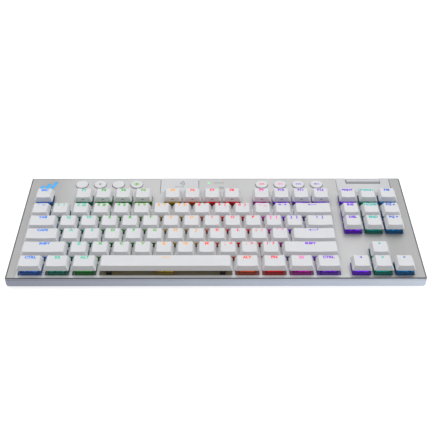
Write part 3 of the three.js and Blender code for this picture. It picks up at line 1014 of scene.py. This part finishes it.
emblem = join("emblem_bars", emblem_bars(0, plate_low - 0.2 * MM, plate_top - 0.05 * MM))
soften(emblem, 0.15 * MM)
hand_in(emblem, "case", "lit_blue", "emblem_window")
print("plate:", len(plate.data.polygons), "faces")

# %% [markdown]
# ## Light panel and roller surround
# Two lighter panels are let into the back of the plate: one over the antenna, one round the volume
# roller. Both are slabs with broken edges. A plain fan of arcs and rows of dashes stand for the
# print around the status light, each a thin raised layer, as silk-screen ink is.

# %% Panels
SLOT_ROOM, SLOT_CORNER = 0.4 * MM, 0.8 * MM


def slot_cutter():
    """A block over the roller that is open towards the back."""
    low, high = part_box("volume_roller")
    slot = block("cutter", (low[0] - SLOT_ROOM, low[1] - SLOT_ROOM, 0), (high[0] + SLOT_ROOM, 1, 1))
    return round_uprights(slot, SLOT_CORNER)


for node in PANEL_NODES:
    panel = block(node + "_panel", *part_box(node), window_plastic)
    if node == "roller_surround":
        cut_out(panel, slot_cutter())
    soften(panel, 0.3 * MM, smooth_below=24)
    hand_in(panel, "case", "window_plastic", node)

# %% Print on the plate
INK = 0.04 * MM


def dash(x, y, width, depth=1.0):
    """A bar of ink on the plate; all four values are millimetres."""
    return block("ink", ((x - width / 2) * MM, (y - depth / 2) * MM, plate_top - INK),
                 ((x + width / 2) * MM, (y + depth / 2) * MM, plate_top + INK))


def arc_mark(x, y, radius, width, degrees):
    """A square dash swept round a point with the spin tool."""
    turn = math.radians(degrees)
    band = dash(x + radius * math.sin(turn / 2), y + radius * math.cos(turn / 2), width, width)
    pick(band, "FACE", lambda middle, normal: normal.x < -0.9)
    bpy.ops.mesh.spin(steps=10, angle=turn, center=(x * MM, y * MM, plate_top), axis=(0, 0, 1))
    bpy.ops.mesh.select_all(action="SELECT")
    bpy.ops.mesh.remove_doubles(threshold=1e-7)
    bpy.ops.mesh.normals_make_consistent(inside=False)
    return leave(band)


prints = [arc_mark(-36.5, 65.6, radius, 0.9, 90) for radius in (2.0, 3.8, 5.6)]
prints += [dash(-39 + step * 3.0, 60.4, 2.2, 0.9) for step in range(3)]
prints += [dash(-0.8 + step * 2.6, 67, 2.0) for step in range(4)]
prints += [dash(5.6, 58.7 + step * 1.3, 4.6, 0.6) for step in (-1, 0, 1)]
ink = coat(join("printed_marks", prints), print_grey)
hand_in(ink, "case", "black_plastic")

# %% [markdown]
# ## Status light
# A short light pipe with a domed end shines through the plate. A drum with two insets rising
# towards the middle makes the dome without any sculpting.

# %% Light pipe
light = middle_of("status_light")
pipe = drum("status_light_pipe", (light.x, light.y, plate_top - 0.6 * MM), 0.95 * MM, 1.1 * MM, 24,
            lit_green)
terrace(pipe, facing_up, (0.25, 0.12), (0.3, 0.05))
soften(pipe, 0.04 * MM, smooth_below=50)
hand_in(pipe, "case", "lit_green", "status_light")

# %% [markdown]
# ## Round buttons
# The eight buttons are white domed discs on a stem. Insets that climb a little each time round off
# the crown, and a second drum below makes the stem that meets the board. Most have a small sign.

# %% Buttons
SIGN_THICKNESS = 0.15 * MM


def disc_mark(x, y, radius, sides):
    """A flat disc; its place and radius are millimetres."""
    return drum("mark", (x * MM, y * MM, 0), radius * MM, SIGN_THICKNESS, sides)


def sun_sign():
    turns = [step * math.pi / 4 for step in range(8)]
    rays = [disc_mark(2.6 * math.cos(turn), 2.6 * math.sin(turn), 0.5, 8) for turn in turns]
    return [disc_mark(0, 0, 1.6, 20), *rays]


def skip_sign():
    return [arrow_mark(-1.4, 0, 1.5, -90), arrow_mark(0.9, 0, 1.5, -90), bar_mark(2.3, 0, 0.6, 2.6)]


BUTTON_SIGNS = {
    "mode_button_2": ("grey", lambda: [disc_mark(0, 0, 1.2, 20)]),
    "mode_button_4": ("lime", sun_sign),
    "media_button_1": ("red", skip_sign),
    "media_button_2": ("magenta", lambda: [
        arrow_mark(-0.6, 0, 1.6, -90), bar_mark(1.3, 0, 0.6, 2.4), bar_mark(2.3, 0, 0.6, 2.4)]),
    "media_button_3": ("violet", skip_sign),
    "media_button_4": ("indigo", lambda: [
        bar_mark(-1.6, 0, 1.4, 1.6), arrow_mark(-0.5, 0, 1.6, 90), bar_mark(1.4, 0, 0.5, 1.4),
        bar_mark(2.4, 0, 0.5, 2.4)]),
}
CROWN = [(0.30, 0.20), (0.40, 0.10), (1.1, 0.08), (1.8, 0.03)]


def model_button(node):
    low, high = (Vector(corner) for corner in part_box(node))
    x, y = (low.x + high.x) / 2, (low.y + high.y) / 2
    radius = (high.x - low.x) / 2
    under = plate_low + 0.4 * MM
    side = high.z - sum(rise for _, rise in CROWN) * MM
    head = drum("head", (x, y, (under + side) / 2), radius, side - under, 64, cap_white)
    lone(terrace(head, facing_up, *CROWN))
    bpy.ops.object.shade_smooth_by_angle(angle=math.radians(40))
    stem = drum("stem", (x, y, (low.z + under) / 2), 2 * MM, under - low.z, 24, black_plastic)
    soften(stem, 0.2 * MM)
    return [head, stem], Vector((x, y, high.z))


def button_sign(node, crown):
    """A small generic sign that stands 0.01 mm proud of the crown."""
    hue, make_parts = BUTTON_SIGNS[node]
    sign = coat(join("sign", make_parts()), print_grey if hue == "grey" else marks[hue])
    top = max(corner.co.z for corner in sign.data.vertices)
    sign.data.transform(Matrix.Translation(crown + Vector((0, 0, 0.01 * MM - top))))
    return sign


for node in BUTTON_NODES:
    parts, crown = model_button(node)
    if node in BUTTON_SIGNS:
        parts.append(button_sign(node, crown))
    hand_in(join(node + "_disc", parts), node, "cap_plastic", node)
print(len(BUTTON_NODES), "round buttons")

# %% [markdown]
# ## Volume roller
# The roller is a satin drum lying in its slot. A primitive drum turned on its side is close, and
# insets at both ends give it the stepped, chamfered faces of a turned part.

# %% Roller
roller_middle = middle_of("volume_roller")
roller = drum("roller_drum", roller_middle, size_of("volume_roller").z / 2, size_of("volume_roller").x, 72,
              roller_metal, turned=(0, math.pi / 2, 0))
terrace(roller, facing_ends, (1.0, 0), (0.2, -0.3))
soften(roller, 0.35 * MM, segments=3)
hand_in(roller, "volume_roller", "roller_metal", "volume_roller")

# %% [markdown]
# ## Tray, feet and small outside parts
# These already have the right shape in the working model, so their meshes are copied instead of
# being modelled again. A copy is loose triangles at first: its doubles are merged, flat triangles
# are dissolved into whole faces, and then every sharp edge is broken so that it catches the light.

# %% Refine what the working model already holds
def refine(node, material, width, body, slot, smooth_below=24):
    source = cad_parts[node]
    piece = source.copy()
    piece.data = source.data.copy()
    piece.name = node + "_moulding"
    piece.parent = None
    bpy.context.collection.objects.link(piece)
    coat(piece, material)
    pick(piece, "FACE", lambda middle, normal: True)
    bpy.ops.mesh.remove_doubles(threshold=1e-6)
    bpy.ops.mesh.dissolve_limited(angle_limit=math.radians(1))
    leave(piece)
    soften(piece, width, sharper_than=35, smooth_below=smooth_below)
    return hand_in(piece, body, slot, node)


refine("base_tray", tray_plastic, 0.25 * MM, "case", "tray_plastic")
for side in ("left", "right"):
    for kind in ("tall", "short"):
        foot = f"{side}_{kind}_foot"
        refine(foot, tray_plastic, 0.3 * MM, foot, "tray_plastic")
for place_name in ("front_left", "front_right", "rear_left", "rear_right"):
    refine(place_name + "_pad", rubber, 0.25 * MM, "case", "rubber")
refine("charging_socket", steel, 0.12 * MM, "case", "steel")
refine("power_slider", black_plastic, 0.15 * MM, "power_slider", "black_plastic")

# %% [markdown]
# ## Case screws
# Eight screws hold the tray from below. A drum with a domed head, and a cross that two crossed bars
# cut into it, reads as a screw even when it is small.

# %% Screws
SCREW_PLACES = [(-172, -56), (172, -56), (-172, 56), (172, 56), (-60, -64), (60, -64), (-80, 2), (80, 2)]
HEAD_RADIUS, HEAD_LOW, HEAD_HIGH = 1.6 * MM, 1.15 * MM, 1.85 * MM

screw = drum("screw", (0, 0, (HEAD_LOW + HEAD_HIGH) / 2), HEAD_RADIUS, HEAD_HIGH - HEAD_LOW, 32, steel)
terrace(screw, facing_down, (0.4, 0.15))
for x, y in ((0.9 * MM, 0.18 * MM), (0.18 * MM, 0.9 * MM)):
    cut_out(screw, block("cutter", (-x, -y, 0), (x, y, HEAD_LOW + 0.35 * MM)))
soften(screw, 0.05 * MM)
for number, (x, y) in enumerate(SCREW_PLACES, 1):
    hand_in(copy_to(screw, f"case_screw_{number}", (x * MM, y * MM, 0)), "case", "steel")
discard(screw)

# %% [markdown]
# ## Finish the parts that stay
# The stiffener, board, battery, shaft, bearing block and encoder are right as they are. They only
# need their finishes.

# %% Give the inside its finishes
for node, material in {
    "steel_stiffener": steel, "circuit_board": circuit_laminate, "battery_pack": battery_wrap,
    "roller_shaft": steel, "roller_bearing": black_plastic, "roller_encoder": black_plastic,
}.items():
    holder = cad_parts[node]
    if holder.material_slots:
        for slot in holder.material_slots:
            slot.material = material
    else:
        holder.data.materials.append(material)

# %% [markdown]
# ## Floor and light
# A pale floor that glows enough to fade into the background, a sky that is lighter above and along
# the horizon than ahead, one wide lamp overhead and a soft one from the right, which adds to the
# slow change of tone from left to right along the front edge; that change is also painted into the
# tray's finish.

# %% Floor
bpy.ops.object.select_all(action="DESELECT")
bpy.ops.mesh.primitive_plane_add(size=12, location=(0, 0, 0))
floor_finish = Finish("floor_paper", roughness=0.9)
fibres = floor_finish.noise(0.004, detail=3)
pale = floor_finish.mix(fibres, linear("9c9c9d"), linear("a2a2a2"))
floor_finish.set(Base_Color=pale, Emission_Color=linear("ffffff"), Emission_Strength=0.76)
paper = settle("floor", floor_finish.material)

# %% Sky and lamps
world = bpy.data.worlds.new("sky")
bpy.context.scene.world = world
world.use_nodes = True
bpy.context.scene.view_settings.view_transform = "Standard"
links, nodes = world.node_tree.links, world.node_tree.nodes
sky = nodes["Background"]
direction = nodes.new("ShaderNodeTexCoord")
lean = nodes.new("ShaderNodeVectorMath")
lean.operation = "DOT_PRODUCT"
lean.inputs[1].default_value = (0, 0.45, 0.9)
parts = nodes.new("ShaderNodeSeparateXYZ")
brighter = nodes.new("ShaderNodeMath")
brighter.operation = "MAXIMUM"
links.new(direction.outputs["Generated"], lean.inputs[0])
links.new(direction.outputs["Generated"], parts.inputs[0])
for number, (source, near, far, low, high) in enumerate([
        (lean.outputs["Value"], -0.5, 0.95, 0.0, 1.15), (parts.outputs["Z"], 0.30, 0.14, 0.0, 0.92)]):
    climb = nodes.new("ShaderNodeMapRange")
    for socket, value in zip(climb.inputs[1:5], (near, far, low, high)):
        socket.default_value = value
    links.new(source, climb.inputs["Value"])
    links.new(climb.outputs["Result"], brighter.inputs[number])
links.new(brighter.outputs["Value"], sky.inputs["Strength"])
sky.inputs["Color"].default_value = (1.0, 1.0, 1.0, 1.0)


def lamp(name, place, target, size, power):
    data = bpy.data.lights.new(name, "AREA")
    data.shape = "RECTANGLE"
    data.size, data.size_y = size
    data.energy = power
    holder = bpy.data.objects.new(name, data)
    holder.location = place
    holder.rotation_euler = (Vector(target) - Vector(place)).to_track_quat("-Z", "Y").to_euler()
    bpy.context.collection.objects.link(holder)
    return holder


lamp("overhead", (0, 0.5, 1.6), (0, 0, 0), (1.8, 1.4), 14)
lamp("right_soft", (1.3, -0.5, 0.5), (0, 0, 0), (0.8, 0.8), 4)
print("the sky has", len(nodes), "nodes")
